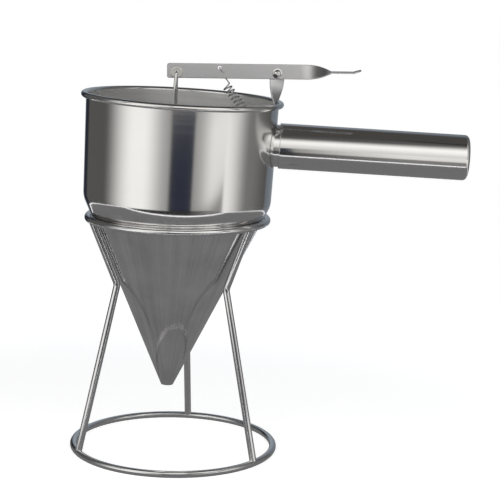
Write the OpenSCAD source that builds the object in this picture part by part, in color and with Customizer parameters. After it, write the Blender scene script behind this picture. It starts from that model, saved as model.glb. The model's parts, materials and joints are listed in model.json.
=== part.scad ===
// Hand-held batter funnel with a thumb lever that lifts a valve plug off the
// outlet, standing in a wire stand. Polished stainless steel throughout.
//
// Frame: the origin is the centre of the stand's base ring on the table, +Z is
// up and the handle points along +X. Pieces of the funnel are drawn in the
// funnel's own frame, whose origin is the centre of the outlet and whose Z axis
// is the funnel's axis; seated() then stands them in the ring.

/* [Stand] */
// Wire diameter of the rings and legs
wire_d = 4.8; // [4:0.1:5.6]
// Centre-line diameter of the base ring
base_ring_d = 140; // [130:1:160]
// Centre-line diameter of the top ring that carries the funnel
top_ring_d = 122.8; // [112:0.2:124]
// Height of the top ring's centre line above the table
stand_h = 163.2; // [155:0.2:180]
// Number of degrees from +X to the rear leg
leg_azimuth = 84; // [76:1:92]
// Height of the knee where each leg turns outward
knee_h = 119; // [110:1:130]
// Bend radius of the knee, on the wire's centre line
knee_radius = 8; // [5:0.5:14]
// Free space between a leg and the leaning cone
leg_clear = 0.45; // [0.3:0.05:1.5]
// Gap at the welds between the legs and the rings
weld_gap = 0.05; // [0.02:0.01:0.1]

/* [Hopper] */
// Thickness of the steel sheet
sheet = 0.8; // [0.6:0.05:1]
// Diameter of the outlet's opening
outlet_bore = 6.6; // [6:0.1:8]
// Angle between the cone's side and its axis
cone_angle = 24.65; // [24:0.05:26]
// Outer diameter of the wall at the rim
mouth_d = 130.6; // [124:0.1:140]
// How far the wall spreads from the corner above the cone up to the rim
wall_spread = 1.15; // [0.5:0.05:2]
// Height of the rim above the outlet
hopper_h = 200; // [190:1:215]
// Outer radius of the bend between cone and wall
shoulder_radius = 16; // [8:0.5:20]
// Diameter of the rolled bead round the rim
rim_bead_d = 4; // [3:0.1:5]
// How far the bead is let into the sheet
rim_bite = 0.6; // [0.4:0.05:0.75]
// Distance along the axis from the shoulder's bend down to the seam with the cone
seam_drop = 2; // [1:0.5:3]

/* [Seat] */
// How far the funnel leans toward its handle in the stand
lean = 2.05; // [0:0.05:2.1]
// Gap between the cone and the wire of the top ring
seat_gap = 0.3; // [0.2:0.05:0.4]

/* [Handle] */
// Outer diameter of the handle tube
handle_d = 31; // [28:0.5:34]
// Thickness of the handle tube
handle_wall = 0.8; // [0.6:0.1:1.2]
// Distance from the funnel's axis to the closed end of the handle
handle_reach = 196; // [170:1:215]
// Distance of the handle's axis below the rim
handle_drop = 28; // [24:0.5:34]
// Length of the neck that shows between the bowl and the tube
neck_show = 2.4; // [1.5:0.1:5]
// Length of neck inside the tube
neck_socket = 7; // [4:0.5:14]
// Edge radius of the end cap
cap_radius = 3; // [2:0.25:4]
// Length of the cap's spigot inside the tube
cap_spigot = 5; // [3:0.5:12]
// Rounding on the tube's edge next to the neck
tube_lip = 0.6; // [0.3:0.1:0.7]
// Clearance of the neck and the spigot in the tube, and of the post's foot on the wall
fit_gap = 0.3; // [0.2:0.05:0.4]

/* [Pivot post] */
// How far the lever's pivot stands in from the wall at the rim
pivot_inset = 1.7; // [1.5:0.1:2]
// Height of the pivot above the rim
pivot_rise = 21; // [20:0.5:26]
// Width of the post's strip
post_w = 9.8; // [8.5:0.1:10.5]
// Thickness of the post's strip
post_t = 1.2; // [1:0.1:1.4]
// Length of the flat face above the twist, below the pivot
post_flat = 3.5; // [3:0.25:4.5]
// Length of the quarter-turn twist
post_twist = 19.5; // [17:0.5:20.5]
// Length over which the post runs outward to the wall
post_joggle = 10; // [8:0.5:14]
// Length of the post's foot along the wall
post_foot = 14; // [10:0.5:20]
// How far the spring's ear stands in from the wall
ear_reach = 8.5; // [7:0.25:11]
// Diameter of the spring's hole in the ear
ear_hole_d = 2.6; // [2.2:0.1:3.2]

/* [Pivot rivet] */
// Diameter of the rivet's shank
rivet_d = 3; // [2.6:0.1:3.6]
// Diameter of the rivet's heads
rivet_head_d = 5; // [4.6:0.1:5.8]
// Height of each rivet head
rivet_head_h = 1.2; // [1:0.1:1.6]
// Diameter of the drilled centre in the front head
rivet_eye_d = 1.6; // [1.2:0.1:2]
// Depth of the drilled centre in the front head
rivet_eye_depth = 0.8; // [0.4:0.1:0.9]
// Outer diameter of the washer under the front head
washer_d = 6.8; // [6.2:0.1:8]
// Thickness of the washer
washer_t = 0.5; // [0.4:0.05:0.8]
// Radial clearance of the lever and washer on the shank
pivot_clear = 0.06; // [0.03:0.01:0.1]
// Side play between the washer and the lever
side_play = 0.1; // [0.05:0.01:0.15]
// Gap between the lever and the post
post_gap = 0.3; // [0.25:0.05:0.6]

/* [Lever] */
// Width of the lever's strip
lever_w = 10; // [9.4:0.1:11]
// Thickness of the lever's strip
lever_t = 1; // [0.8:0.1:1.2]
// How far the lever climbs toward its thumb tab, in degrees
lever_tilt = 2.9; // [1.5:0.1:4]
// Height of the strip's middle above the pivot
strip_rise = 1.1; // [0.6:0.1:1.6]
// How far beyond the funnel's axis the lever reaches to the hole of the valve rod
rod_over = 5.3; // [4:0.1:7]
// Length of strip beyond the rod's hole
lever_tail = 6.5; // [5.5:0.25:8]
// Corner radius at the strip's end
lever_corner = 1.5; // [0.5:0.25:3]
// Clearance round the rod in its hole
rod_clear = 0.25; // [0.1:0.05:0.4]
// Diameter of the raised ring round the rod's hole
boss_d = 8.4; // [7:0.1:9]
// Height of the raised ring
boss_h = 0.35; // [0.2:0.05:0.6]
// Distance from the pivot to the spring's hole
spring_arm = 39.1; // [36:0.1:41]
// Height of the spring's hole above the pivot
spring_hole_rise = 3.3; // [2.6:0.1:3.6]
// Diameter of the spring's hole in the lever
spring_hole_d = 2.4; // [2:0.1:2.8]
// Distance from the pivot to the start of the lever's twist
twist_start = 15; // [12:0.5:18]
// Length of the lever's quarter-turn twist
lever_twist = 21.6; // [18:0.2:25]
// Length of the thumb tab, with its round end
tab_len = 20; // [16:0.5:28]
// Length of the tab's end that turns up
tab_toe = 5; // [3:0.25:8]
// Angle by which the tab's end turns up
tab_lift = 18; // [5:1:30]

/* [Valve] */
// Diameter of the valve rod's wire
rod_d = 2.2; // [1.8:0.1:2.4]
// Length of the short leg of the rod's hook
hook_leg = 13; // [9:0.5:16]
// How far the end of the hook's short leg stands off sideways
hook_slant = 0.6; // [0:0.1:1.5]
// Gap between the rod and the faces of the lever
hook_gap = 0.3; // [0.25:0.05:0.6]
// Height of the plug's lower face above the outlet
plug_base = 3; // [2.6:0.1:3.6]
// Height of the plug's sealing cone
plug_seat_h = 5; // [4:0.25:6]
// Height of the plug above its sealing cone
plug_top_h = 4; // [3:0.25:6]
// Diameter of the plug's top
plug_top_d = 5; // [4.4:0.1:6]
// Gap between the plug's sealing cone and the outlet cone
plug_gap = 0.3; // [0.25:0.05:0.5]
// Depth of solid plug below the rod's end
plug_floor = 1.2; // [0.8:0.1:2]
// Radial clearance of the rod in the plug, and of the rivet in the post
tight_fit = 0.03; // [0.02:0.01:0.05]

/* [Return spring] */
// Outer diameter of the spring's curls
spring_d = 6.5; // [5.8:0.1:6.8]
// Diameter of the spring's wire
spring_wire = 1; // [0.8:0.05:1.1]
// Number of curls
curls = 15; // [12:1:16]
// Distance from the lever's hole down to the first curl
spring_top_drop = 11.8; // [11:0.1:13]
// Distance of the first curl's centre beyond the lever's hole
spring_top_run = 5.1; // [4.5:0.1:6]
// Height of the last curl's centre above the ear
spring_base_rise = 4.2; // [4:0.1:6]
// Distance of the last curl's centre inward of the ear's hole
spring_base_run = 2.4; // [2:0.1:3]
// Gap between the spring's hook and the lever's back
spring_gap = 0.3; // [0.25:0.05:0.5]

/* [Hidden] */
$fn = 96;
// Overshoot of cutting shapes past the faces that they cut
over = 1;
// Extra thickness of round wire where it is bent
bend_swell = 0.02;

// --- hopper profile, as distance from the axis and height above the outlet ---
mouth_r = mouth_d / 2;
shoulder_r = mouth_r - wall_spread;
outlet_r = outlet_bore / 2 + sheet / cos(cone_angle);
shoulder_z = (shoulder_r - outlet_r) / tan(cone_angle);
flare = atan(wall_spread / (hopper_h - shoulder_z));
bend_reach = shoulder_radius * tan((cone_angle - flare) / 2);
bend_low = [shoulder_r, shoulder_z] - bend_reach * [sin(cone_angle), cos(cone_angle)];
bend_high = [shoulder_r, shoulder_z] + bend_reach * [sin(flare), cos(flare)];
bend_centre = bend_low + shoulder_radius * [-cos(cone_angle), sin(cone_angle)];
seam_z = bend_low.y - seam_drop;
rim_r = mouth_r - rim_bite + rim_bead_d / 2;
function wall_r(z) = shoulder_r + (z - shoulder_z) * tan(flare);
function bore_r(z) = outlet_bore / 2 + z * tan(cone_angle);

// --- seat: the leaning cone touches the ring's wire on both sides of the XZ plane ---
apex_drop = outlet_r / tan(cone_angle);
lean_right = cone_angle + lean;
lean_left = cone_angle - lean;
seat_offset = wire_d / 2 + seat_gap;
apex_depth = (top_ring_d - seat_offset * (1 / cos(lean_right) + 1 / cos(lean_left)))
    / (tan(lean_right) + tan(lean_left));
apex = [top_ring_d / 2 - seat_offset / cos(lean_right) - apex_depth * tan(lean_right), 0,
    stand_h - apex_depth];

// --- legs, as distance from the stand's axis and height: each aims at the rings' centre lines,
// with its knee beside the cone where the cone leans nearest ---
knee = [(knee_h - apex.z) * tan(lean_left) - apex.x + (wire_d / 2 + leg_clear) / cos(lean_left), knee_h];
// How far the straight stretches of bent wire reach into their bends
bend_lap = 0.3;
base_weld = [base_ring_d / 2, wire_d / 2];
top_weld = [top_ring_d / 2, stand_h];

// --- handle ---
handle_r = handle_d / 2;
handle_h = hopper_h - handle_drop;
// Outer radius of the neck and of the cap's spigot, which both stand in the tube
neck_r = handle_r - handle_wall - fit_gap;
tube_start = wall_r(handle_h) + neck_show;
cap_start = handle_reach - cap_radius;
// Height at which the cap's spigot is well inside the cap's rounded wall
spigot_root = sqrt(fit_gap * (2 * (cap_radius - handle_wall) - fit_gap)) + handle_wall / 2;

// --- lever, post and pivot: heights above the outlet, places across the lever along Y ---
pivot_reach = mouth_r - sheet - pivot_inset;
pivot_z = hopper_h + pivot_rise;
rod_arm = pivot_reach + rod_over;
function on_lever(u, w) = [pivot_reach + u * cos(lever_tilt) - w * sin(lever_tilt),
    pivot_z + u * sin(lever_tilt) + w * cos(lever_tilt)];
lever_back = lever_t / 2;
post_y = lever_back + post_gap + post_t / 2;
washer_face = -lever_back - side_play - washer_t;
twist_top = pivot_z - post_flat;
twist_base = twist_top - post_twist;
foot_top = twist_base - post_joggle;
foot_base = foot_top - post_foot;
// Place of the strip's middle where its outer corners just clear the bowl's wall
function strip_place(z) = sqrt(pow(wall_r(z) - sheet, 2) - pow(post_w / 2 + post_y, 2))
    - post_t / 2 - fit_gap;
foot_x = strip_place(foot_top);
ear_tip = wall_r(foot_base) - sheet - ear_reach;
ear_hole = [ear_tip + post_w / 4, post_y, foot_base];

// --- valve rod: eye in the lever, straight to the plug on the outlet's axis ---
rod_r = rod_d / 2;
eye = on_lever(-rod_arm, 0);
rod_back_y = lever_back + hook_gap + rod_r;
hook_front_y = -(lever_back + boss_h + hook_gap + rod_r);
rod_top = [eye.x, rod_back_y, eye.y];
plug_place = [0, 0, plug_base];
rod_vector = rod_top - plug_place;

// --- return spring ---
spring_hook = on_lever(-spring_arm, spring_hole_rise);
spring_y = lever_back + spring_gap + spring_wire / 2;
coil_r = (spring_d - spring_wire) / 2;
coil_top = [spring_hook.x + spring_top_run, post_y, spring_hook.y - spring_top_drop];
coil_base = [ear_hole.x - spring_base_run, post_y, ear_hole.z + post_t + spring_base_rise];
rings_per_curl = 8;
tube_sides = 6;

// ---------- helpers ----------

function unit(v) = v / norm(v);

// Stands the funnel's own frame in the stand
module seated() {
    translate(apex) rotate([0, lean, 0]) translate([0, 0, apex_drop]) children();
}

// Turns the lever's frame, with X along the strip and the pivot at its origin
module lever_frame() {
    translate([pivot_reach, 0, pivot_z]) rotate([0, -lever_tilt, 0]) children();
}

// Turns Z to a direction
module along(v) {
    rotate([0, acos(v.z / norm(v)), atan2(v.y, v.x)]) children();
}

// A round bar between two points
module bar(a, b, d) {
    translate(a) along(b - a) cylinder(h = norm(b - a), d = d);
}

// A ring of round wire round Z
module wire_ring(centre_d, z) {
    translate([0, 0, z]) rotate_extrude() translate([centre_d / 2, 0]) circle(d = wire_d);
}

// Runs children's Z axis along Y, from front to back, starting at a given Y
module through(y) {
    translate([0, y, 0]) rotate([-90, 0, 0]) children();
}

// A rectangle's corners after a turn, as [across, through]
function turned_corners(w, t, a) = [for (c = [[-w, -t], [w, -t], [w, t], [-w, t]])
    [c.x * cos(a) - c.y * sin(a), c.x * sin(a) + c.y * cos(a)] / 2];

// A closed skin over equal rings of points
module skin(rings) {
    n = len(rings[0]);
    last = len(rings) - 1;
    sides = [for (i = [0:last - 1], j = [0:n - 1]) let (k = (j + 1) % n)
        each [[i * n + j, i * n + k, (i + 1) * n + k], [i * n + j, (i + 1) * n + k, (i + 1) * n + j]]];
    ends = [for (j = [1:n - 2]) each [[0, j + 1, j], [last * n, last * n + j, last * n + j + 1]]];
    polyhedron(points = [for (r = rings) each r],
        faces = [for (f = concat(sides, ends)) [f[0], f[2], f[1]]]);
}

// ---------- stand ----------

// One leg, laid out as [distance, height] in the plane of its azimuth. It is drawn from
// its knee's bend, with a straight stretch running on from each end of the bend.
module leg(azimuth) {
    down = unit(base_weld - knee);
    up = unit(top_weld - knee);
    turn = 180 - acos(down * up);
    reach = knee_radius * tan(turn / 2);
    centre = knee + unit(down + up) * knee_radius / cos(turn / 2);
    bend_start = knee + up * reach - centre;
    cut_off = reach + wire_d / 2 + weld_gap;
    rotate([90, 0, azimuth]) translate(centre) rotate([0, 0, atan2(bend_start.y, bend_start.x)]) {
        rotate_extrude(angle = turn) translate([knee_radius, 0]) circle(d = wire_d + bend_swell);
        translate([knee_radius, bend_lap, 0]) rotate([90, 0, 0])
            cylinder(h = norm(top_weld - knee) - cut_off + bend_lap, d = wire_d);
        rotate([0, 0, turn]) translate([knee_radius, -bend_lap, 0]) rotate([-90, 0, 0])
            cylinder(h = norm(base_weld - knee) - cut_off + bend_lap, d = wire_d);
    }
}

module stand_base_ring() {
    color("silver") wire_ring(base_ring_d, wire_d / 2);
}

module stand_top_ring() {
    color("silver") wire_ring(top_ring_d, stand_h);
}

module stand_leg_rear() {
    color("gainsboro") leg(leg_azimuth);
}

module stand_leg_left() {
    color("gainsboro") leg(leg_azimuth + 120);
}

module stand_leg_right() {
    color("gainsboro") leg(leg_azimuth + 240);
}

// ---------- hopper ----------

// Everything inside the hopper's skin, drawn in by an inset
module hopper_region(inset) {
    cone_in = inset * [-cos(cone_angle), sin(cone_angle)];
    wall_in = inset * [-cos(flare), sin(flare)];
    toe = [outlet_r - over * tan(cone_angle), -over] + cone_in;
    lip = [wall_r(hopper_h + over), hopper_h + over] + wall_in;
    polygon([[0, toe.y], toe, bend_low + cone_in, bend_high + wall_in, lip, [0, lip.y]]);
    translate(bend_centre) circle(r = shoulder_radius - inset);
}

// The hopper's sheet between two heights
module hopper_sheet(from_z, to_z) {
    intersection() {
        difference() {
            hopper_region(0);
            hopper_region(sheet);
        }
        translate([0, from_z]) square([mouth_d, to_z - from_z]);
    }
}

module hopper_bowl() {
    color("lightgray") seated() rotate_extrude() {
        hopper_sheet(seam_z, hopper_h);
        translate([rim_r, hopper_h]) circle(d = rim_bead_d);
    }
}

module hopper_cone() {
    color("darkgray") seated() rotate_extrude() hopper_sheet(0, seam_z);
}

// ---------- handle ----------

// The handle's frame: Z runs outward from the funnel's axis
module handle_frame() {
    translate([0, 0, handle_h]) rotate([0, 90, 0]) children();
}

module handle_neck() {
    color("gray") seated() difference() {
        handle_frame() rotate_extrude()
            translate([neck_r - handle_wall, 0]) square([handle_wall, tube_start + neck_socket]);
        rotate_extrude() hopper_region(0);
    }
}

module handle_tube() {
    color("silver") seated() handle_frame() rotate_extrude() {
        translate([handle_r - handle_wall, tube_start + tube_lip])
            square([handle_wall, cap_start - tube_start - tube_lip]);
        translate([handle_r - handle_wall, tube_start]) square([handle_wall - tube_lip, 2 * tube_lip]);
        translate([handle_r - tube_lip, tube_start + tube_lip]) circle(r = tube_lip);
    }
}

// Profile of the cap's outer face, drawn in by an inset
module cap_region(inset) {
    square([handle_r - cap_radius, cap_radius - inset]);
    intersection() {
        translate([handle_r - cap_radius, 0]) circle(r = cap_radius - inset);
        square([handle_r, cap_radius]);
    }
}

module handle_end_cap() {
    color("silver") seated() handle_frame() translate([0, 0, cap_start]) rotate_extrude() {
        difference() {
            cap_region(0);
            cap_region(handle_wall);
        }
        translate([neck_r - handle_wall, -cap_spigot]) square([handle_wall, cap_spigot + spigot_root]);
    }
}

// ---------- pivot ----------

// Sections of the post from the foot's top up to the flat face: joggle, then twist
function post_section(x, z, a) = [for (c = turned_corners(post_w, post_t, a)) [x + c.x, post_y + c.y, z]];
joggle_steps = 4;
post_twist_steps = 14;
post_rings = concat(
    [for (i = [0:joggle_steps - 1]) let (s = i / joggle_steps)
        post_section(foot_x + (pivot_reach - foot_x) * (1 - cos(180 * s)) / 2,
            foot_top + post_joggle * s, 90)],
    [for (i = [0:post_twist_steps]) let (s = i / post_twist_steps)
        post_section(pivot_reach, twist_base + post_twist * s, 90 * (1 - s))]);

module pivot_post() {
    color("lightslategray") seated() {
        difference() {
            translate([pivot_reach, 0, pivot_z]) through(post_y - post_t / 2) linear_extrude(post_t) {
                circle(d = post_w);
                translate([-post_w / 2, 0]) square([post_w, post_flat]);
            }
            translate([pivot_reach, 0, pivot_z]) through(0)
                cylinder(h = post_y + post_t, d = rivet_d + 2 * tight_fit);
        }
        skin(post_rings);
        intersection() {
            translate([foot_x - post_t / 2, post_y - post_w / 2, foot_base])
                cube([post_w, post_w, post_foot]);
            rotate_extrude() hopper_region(sheet + fit_gap);
        }
        difference() {
            translate([ear_tip, post_y, foot_base]) linear_extrude(post_t) intersection() {
                translate([post_w / 2, 0]) {
                    circle(d = post_w);
                    translate([0, -post_w / 2]) square([post_w, post_w]);
                }
                translate([0, -post_w / 2]) square([foot_x - ear_tip, post_w]);
            }
            translate([ear_hole.x, ear_hole.y, foot_base - over])
                cylinder(h = post_t + 2 * over, d = ear_hole_d);
        }
    }
}

module pivot_rivet() {
    tail_face = post_y + post_t / 2;
    color("dimgray") seated() translate([pivot_reach, 0, pivot_z]) difference() {
        union() {
            through(washer_face) cylinder(h = tail_face - washer_face, d = rivet_d);
            through(tail_face) rivet_head();
            through(washer_face) mirror([0, 0, 1]) rivet_head();
        }
        through(washer_face - rivet_head_h) cylinder(h = rivet_eye_depth, d = rivet_eye_d);
    }
}

// A low domed head: a ball cut off at the height of its rim
module rivet_head() {
    head_r = rivet_head_d / 2;
    ball_r = (head_r * head_r + rivet_head_h * rivet_head_h) / (2 * rivet_head_h);
    rotate_extrude() intersection() {
        translate([0, rivet_head_h - ball_r]) circle(r = ball_r);
        square([head_r, rivet_head_h]);
    }
}

module pivot_washer() {
    color("slategray") seated() translate([pivot_reach, 0, pivot_z]) through(washer_face) difference() {
        cylinder(h = washer_t, d = washer_d);
        translate([0, 0, -over]) cylinder(h = washer_t + 2 * over, d = rivet_d + 2 * pivot_clear);
    }
}

// ---------- lever ----------

lever_twist_steps = 16;
// The twist starts gently and turns fastest at the tab, where the front face looks up
twist_power = 1.8;
lever_rings = [for (i = [0:lever_twist_steps]) let (s = i / lever_twist_steps, a = -90 * pow(s, twist_power))
    [for (c = turned_corners(lever_w, lever_t, a)) [twist_start + lever_twist * s, -c.y, strip_rise + c.x]]];

// The tab seen from the side, cut to its plan with a round end
module thumb_tab() {
    half = lever_t / 2;
    bend = tab_len - tab_toe;
    mitre = half * tan(tab_lift / 2);
    toe = [bend, 0] + 2 * tab_toe * [cos(tab_lift), sin(tab_lift)];
    toe_side = half * [-sin(tab_lift), cos(tab_lift)];
    intersection() {
        rotate([90, 0, 0]) linear_extrude(lever_w, center = true)
            polygon([[0, -half], [bend + mitre, -half], toe - toe_side, toe + toe_side,
                [bend - mitre, half], [0, half]]);
        translate([0, 0, -tab_len]) linear_extrude(2 * tab_len) {
            translate([0, -lever_w / 2]) square([tab_len - lever_w / 2, lever_w]);
            translate([tab_len - lever_w / 2, 0]) circle(d = lever_w);
        }
    }
}

module lever() {
    strip_end = -rod_arm - lever_tail;
    tab_start = twist_start + lever_twist;
    color("silver") seated() lever_frame() {
        difference() {
            union() {
                through(-lever_back) linear_extrude(lever_t) translate([0, -strip_rise]) {
                    translate([strip_end + lever_corner, -lever_w / 2])
                        square([twist_start - strip_end - lever_corner, lever_w]);
                    translate([strip_end, lever_corner - lever_w / 2])
                        square([2 * lever_corner, lever_w - 2 * lever_corner]);
                    for (side = [-1, 1])
                        translate([strip_end + lever_corner, side * (lever_w / 2 - lever_corner)])
                            circle(r = lever_corner);
                }
                translate([-rod_arm, 0, 0]) through(-lever_back - boss_h) cylinder(h = boss_h, d = boss_d);
            }
            through(-lever_t) cylinder(h = 2 * lever_t, d = rivet_d + 2 * pivot_clear);
            translate([-rod_arm, 0, 0]) through(-lever_t - boss_h)
                cylinder(h = 2 * lever_t + boss_h, d = rod_d + 2 * rod_clear);
            translate([-spring_arm, 0, spring_hole_rise]) through(-lever_t)
                cylinder(h = 2 * lever_t, d = spring_hole_d);
        }
        skin(lever_rings);
        translate([tab_start, 0, strip_rise]) thumb_tab();
    }
}

// ---------- valve ----------

module valve_rod() {
    hook_top = [eye.x, hook_front_y, eye.y];
    hook_end = hook_top + [-hook_slant, 0, -hook_leg];
    rod_end = plug_place + unit(rod_vector) * plug_floor;
    color("gainsboro") seated() {
        bar(rod_end, rod_top, rod_d);
        bar(rod_top, hook_top, rod_d);
        bar(hook_top, hook_end, rod_d);
        for (corner = [rod_top, hook_top, hook_end]) translate(corner) sphere(d = rod_d + bend_swell);
    }
}

module valve_plug() {
    base_r = bore_r(plug_base) - plug_gap / cos(cone_angle);
    seat_r = base_r + plug_seat_h * tan(cone_angle);
    top_z = plug_seat_h + plug_top_h;
    color("dimgray") seated() translate(plug_place) along(rod_vector) difference() {
        rotate_extrude()
            polygon([[0, 0], [base_r, 0], [seat_r, plug_seat_h], [plug_top_d / 2, top_z], [0, top_z]]);
        translate([0, 0, plug_floor]) cylinder(h = top_z, d = rod_d + 2 * tight_fit);
    }
}

// ---------- return spring ----------

coil_axis = unit(coil_top - coil_base);
coil_side = [0, 1, 0];
coil_up = cross(coil_side, coil_axis);
// A place on the helix, counted in curls from the base
function coil_point(n) = coil_base + (coil_top - coil_base) * n / curls
    + coil_r * (cos(360 * n) * coil_up + sin(360 * n) * coil_side);
// Step between the bends of the spring's hooks
hook_run = 1.5 * spring_wire;
base_path = [
    ear_hole + [-2 * hook_run, 0, -hook_run],
    ear_hole + [-hook_run, 0, -hook_run],
    ear_hole + [0, 0, -hook_run / 2],
    ear_hole + [0, 0, post_t + hook_run / 2]
];
top_path = [
    [spring_hook.x + hook_run, spring_y, spring_hook.y - 2 * hook_run],
    [spring_hook.x, spring_y, spring_hook.y],
    [spring_hook.x, -spring_y, spring_hook.y],
    [spring_hook.x + hook_run, -spring_y, spring_hook.y - hook_run],
    [spring_hook.x + 2 * hook_run, -spring_y, spring_hook.y - 2 * hook_run]
];
coil_path = [for (i = [0:curls * rings_per_curl]) coil_point(i / rings_per_curl)];
spring_path = concat(base_path, coil_path, top_path);
spring_last = len(spring_path) - 1;
spring_tangents = [for (i = [0:spring_last])
    unit(spring_path[min(i + 1, spring_last)] - spring_path[max(i - 1, 0)])];
// Each ring's side vector is the last one's, turned square to the wire
function square_to(v, t) = unit(v - (v * t) * t);
spring_sides = [for (i = 0, v = square_to([0, 1, 0], spring_tangents[0]); i <= spring_last;
    i = i + 1, v = i > spring_last ? v : square_to(v, spring_tangents[i])) v];
function wire_section(i) = [for (j = [0:tube_sides - 1])
    spring_path[i] + spring_wire / 2 * (cos(360 * j / tube_sides) * spring_sides[i]
        + sin(360 * j / tube_sides) * cross(spring_tangents[i], spring_sides[i]))];
spring_gaps = [for (i = [0:spring_last], j = [i + rings_per_curl / 2:spring_last])
    norm(spring_path[i] - spring_path[j]) - spring_wire];

module return_spring() {
    color("whitesmoke") seated() skin([for (i = [0:spring_last]) wire_section(i)]);
}

echo(spring_least_gap = min(spring_gaps));

stand_base_ring();
stand_top_ring();
stand_leg_rear();
stand_leg_left();
stand_leg_right();
hopper_bowl();
hopper_cone();
handle_neck();
handle_tube();
handle_end_cap();
pivot_post();
pivot_rivet();
pivot_washer();
lever();
valve_rod();
valve_plug();
return_spring();
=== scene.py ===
"""A hand-held batter funnel in its wire stand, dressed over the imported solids.

The round sheet pieces are turned profiles, every wire is a path swept by a
Geometry Nodes tree, the strips are lofted through stations, and the small
stamped pieces are the solids' own shapes with their edges eased. All of it is
stainless steel: eight finishes over the record's five material slots. The
studio is a dark tent with soft bright cards, which polished steel mirrors as
upright bands.
"""

from __future__ import annotations

import json
import logging
import math
from dataclasses import dataclass, field
from enum import Enum
from typing import Any, Callable, ClassVar, Sequence

import bmesh
import bpy
from mathutils import Matrix, Vector

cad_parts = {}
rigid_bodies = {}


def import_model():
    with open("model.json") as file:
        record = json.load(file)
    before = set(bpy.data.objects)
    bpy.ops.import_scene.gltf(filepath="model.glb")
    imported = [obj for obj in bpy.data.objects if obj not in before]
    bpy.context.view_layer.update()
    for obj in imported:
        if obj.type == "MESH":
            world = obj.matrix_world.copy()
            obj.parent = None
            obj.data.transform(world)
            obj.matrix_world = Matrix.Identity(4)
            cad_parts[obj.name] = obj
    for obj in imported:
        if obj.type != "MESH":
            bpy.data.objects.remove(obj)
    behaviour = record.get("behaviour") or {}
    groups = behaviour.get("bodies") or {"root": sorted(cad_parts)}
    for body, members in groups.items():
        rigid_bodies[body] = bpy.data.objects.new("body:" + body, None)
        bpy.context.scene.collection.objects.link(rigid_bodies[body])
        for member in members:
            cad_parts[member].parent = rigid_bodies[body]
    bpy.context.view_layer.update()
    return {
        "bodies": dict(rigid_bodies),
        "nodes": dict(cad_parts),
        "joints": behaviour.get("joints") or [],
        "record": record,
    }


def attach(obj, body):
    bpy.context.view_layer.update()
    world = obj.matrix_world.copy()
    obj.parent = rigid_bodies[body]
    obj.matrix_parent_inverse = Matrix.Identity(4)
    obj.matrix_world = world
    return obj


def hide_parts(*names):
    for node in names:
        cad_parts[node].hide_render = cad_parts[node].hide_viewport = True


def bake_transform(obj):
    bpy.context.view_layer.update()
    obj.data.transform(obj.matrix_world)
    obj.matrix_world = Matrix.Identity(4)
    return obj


log = logging.getLogger("batter_funnel")

MM = 0.001
Point2 = tuple[float, float]
Colour = tuple[float, float, float]


# ---------------------------------------------------------------- shader maths


def _maths(operation: str, swapped: bool = False) -> Callable[["Wire", Any], "Wire"]:
    """Makes a method of Wire that joins it with another value.

    Args:
        operation: the Math node's operation.
        swapped: whether the other value comes first.

    Returns:
        The method.
    """

    def joined(this: "Wire", other: Any) -> "Wire":
        """Feeds the two values into one Math node."""
        return this.join(operation, *((other, this) if swapped else (this, other)))

    return joined


class Wire:
    """A shader value that can be written in sums, products and comparisons."""

    def __init__(self, sheet: "NodeSheet", socket: bpy.types.NodeSocket) -> None:
        """Keeps the output socket that the value comes out of, and its sheet."""
        self.sheet = sheet
        self.socket = socket

    def join(self, operation: str, *values: Any) -> "Wire":
        """Feeds values, in the order of its inputs, into one Math node of that operation."""
        wired = {str(i): v for i, v in enumerate(values)}
        return self.sheet.add("ShaderNodeMath", {"operation": operation}, wired).out("Value")

    __add__ = __radd__ = _maths("ADD")
    __sub__, __rsub__ = _maths("SUBTRACT"), _maths("SUBTRACT", swapped=True)
    __mul__ = __rmul__ = _maths("MULTIPLY")
    larger = _maths("MAXIMUM")
    # The angle whose tangent is this value over the other, in radians.
    turned_from = _maths("ARCTAN2")

    def root(self) -> "Wire":
        """The square root."""
        return self.join("SQRT", self)

    def within(self, low: float, high: float) -> "Wire":
        """Maps low to 0 and high to 1 with soft ends, and holds it there outside.

        Args:
            low: the value that becomes 0.
            high: the value that becomes 1.

        Returns:
            The mapped value.
        """
        made = self.sheet.add(
            "ShaderNodeMapRange",
            {"interpolation_type": "SMOOTHSTEP"},
            {"Value": self, "From Min": low, "From Max": high},
        )
        return made.out("Result")


def socket_of(sockets: Any, name: str) -> bpy.types.NodeSocket:
    """The socket of that identifier, or else of that name.

    Args:
        sockets: a node's inputs or outputs.
        name: which one.

    Returns:
        The socket.
    """
    for key in ("identifier", "name"):
        for socket in sockets:
            if getattr(socket, key) == name:
                return socket
    raise KeyError(f"no socket is called {name}")


class PlacedNode:
    """A node on a sheet, asked for its outputs by name."""

    def __init__(self, sheet: "NodeSheet", node: bpy.types.Node) -> None:
        """Keeps the node and its sheet."""
        self.sheet = sheet
        self.node = node

    def out(self, name: str) -> Wire:
        """The output of that identifier or name."""
        return Wire(self.sheet, socket_of(self.node.outputs, name))


class NodeSheet:
    """A material's, world's or geometry's node tree, filled through one method."""

    def __init__(self, tree: bpy.types.NodeTree) -> None:
        """Keeps the tree."""
        self.tree = tree

    def add(
        self, kind: str, settings: dict[str, Any] | None = None, inputs: dict[str, Any] | None = None
    ) -> PlacedNode:
        """Places a node, sets it up and joins its inputs.

        Args:
            kind: the node's type, as Blender names it.
            settings: properties of the node itself.
            inputs: values or wires by the input's identifier, name or number.

        Returns:
            The placed node.
        """
        node = self.tree.nodes.new(kind)
        for key, value in (settings or {}).items():
            setattr(node, key, value)
        for key, value in (inputs or {}).items():
            socket = node.inputs[int(key)] if key.isdigit() else socket_of(node.inputs, key)
            if isinstance(value, Wire):
                self.tree.links.new(value.socket, socket)
            else:
                socket.default_value = value
        return PlacedNode(self, node)


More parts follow.
